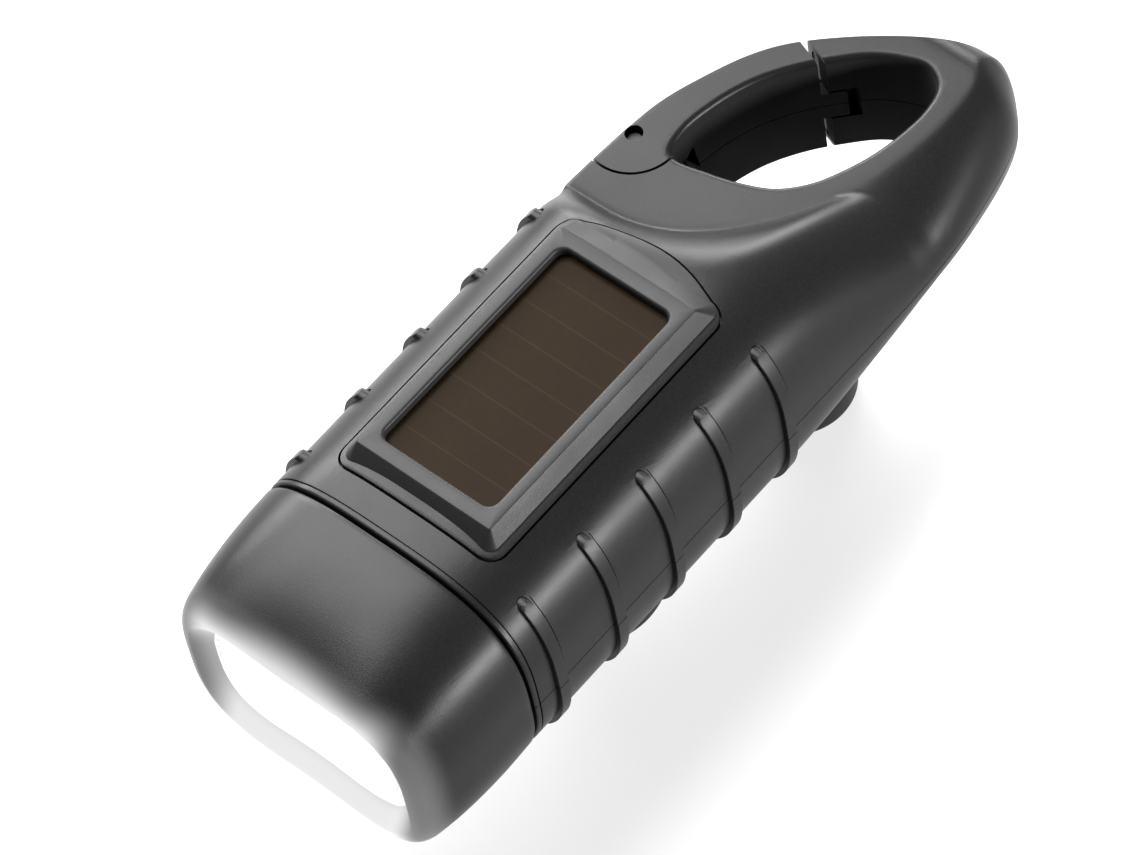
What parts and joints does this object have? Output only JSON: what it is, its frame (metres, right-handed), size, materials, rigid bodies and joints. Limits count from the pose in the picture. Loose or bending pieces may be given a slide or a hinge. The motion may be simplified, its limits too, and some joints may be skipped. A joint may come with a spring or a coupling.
{
  "type": "hand crank flashlight",
  "caption": "Hand-cranked torch with a solar panel on top, a lamp head in front, a folding crank below and a sprung carabiner eye at the tail.",
  "frame": {"origin": "middle of the footprint, at the height of the crank knob's lower face", "axes": "+Y from the lamp head to the carabiner eye, +Z from the crank to the solar panel, +X to the right seen from above with the eye away"},
  "size_m": [0.0466, 0.134, 0.0534],
  "materials": {
    "housing": "fine-grained moulding",
    "panel_trim": "satin",
    "crank_plastic": "satin",
    "solar": "clear gloss over dark film",
    "clear": "clear polished",
    "bright_tray": "vacuum-metallised",
    "lamp": "clear cast",
    "board": "solder mask",
    "gears": "moulded",
    "steel": "plain",
    "brass": "turned",
    "magnet": "sintered",
    "winding": "enamelled wire",
    "bobbin_plastic": "moulded",
    "cell_wrap": "shrink sleeve",
    "button_plastic": "satin"
  },
  "bodies": {
    "housing": {"top_shell": "housing", "bottom_shell": "housing", "gate_pin": "steel", "panel_frame": "panel_trim", "solar_cell": "solar", "head_bezel": "housing", "lens": "clear", "reflector": "bright_tray", "led_left": "lamp", "led_middle": "lamp", "led_right": "lamp", "led_board": "board", "shaft_bush": "brass", "second_axle": "steel", "third_axle": "steel", "stator_yoke": "steel", "bobbin": "bobbin_plastic", "coil": "winding", "gear_plate": "steel", "plate_screw_1": "steel", "plate_screw_2": "steel", "battery_cell_1": "cell_wrap", "battery_cell_2": "cell_wrap", "battery_cell_3": "cell_wrap", "circuit_board": "board", "tact_switch": "button_plastic", "case_screw_1": "steel", "case_screw_2": "steel", "case_screw_3": "steel", "case_screw_4": "steel", "case_screw_5": "steel"},
    "gate": {"gate_top": "housing", "gate_bottom": "housing", "gate_spring": "steel"},
    "crank": {"crank_arm": "crank_plastic", "crank_screw": "steel", "crank_cap": "crank_plastic", "crank_shaft": "steel", "shaft_clip": "steel", "knob_pin": "steel", "drive_gear": "gears"},
    "knob": {"crank_knob": "crank_plastic"},
    "second_gear": {"second_gear": "gears"},
    "third_gear": {"third_gear": "gears"},
    "rotor": {"rotor_shaft": "steel", "rotor_pinion": "brass", "rotor_magnet": "magnet"},
    "button": {"side_button": "button_plastic", "switch_plunger": "gears"}
  },
  "joints": [
    {"name": "gate_hinge", "type": "hinge", "parent": "housing", "child": "gate", "pos_m": [-0.01968, 0.02566, 0.0314], "axis": [0, 0, -1], "range_deg": [0, 22], "stiffness_Nm_per_rad": 0.02, "springref_deg": -9.74},
    {"name": "crank_spin", "type": "hinge", "parent": "housing", "child": "crank", "pos_m": [0.00342, -0.01794, 0.0124], "axis": [0, 0, 1], "continuous": true},
    {"name": "knob_spin", "type": "hinge", "parent": "crank", "child": "knob", "pos_m": [0.00342, 0.02606, 0], "axis": [0, 0, 1], "continuous": true},
    {"name": "second_spin", "type": "hinge", "parent": "housing", "child": "second_gear", "pos_m": [-0.00578, -0.00905, 0.0219], "axis": [0, 0, 1], "continuous": true},
    {"name": "third_spin", "type": "hinge", "parent": "housing", "child": "third_gear", "pos_m": [0.0045, -0.00551, 0.0219], "axis": [0, 0, 1], "continuous": true},
    {"name": "rotor_spin", "type": "hinge", "parent": "housing", "child": "rotor", "pos_m": [-0.00319, 0.00218, 0.0314], "axis": [0, 0, 1], "continuous": true},
    {"name": "button_slide", "type": "slide", "parent": "housing", "child": "button", "axis": [1, 0, 0], "range_m": [0, 0.0006], "stiffness_N_per_m": 400, "springref_m": -0.001}
  ],
  "couplings": [
    {"joint": "second_spin", "follows": "crank_spin", "ratio": -3},
    {"joint": "third_spin", "follows": "crank_spin", "ratio": 7.2},
    {"joint": "rotor_spin", "follows": "crank_spin", "ratio": -17.28}
  ]
}
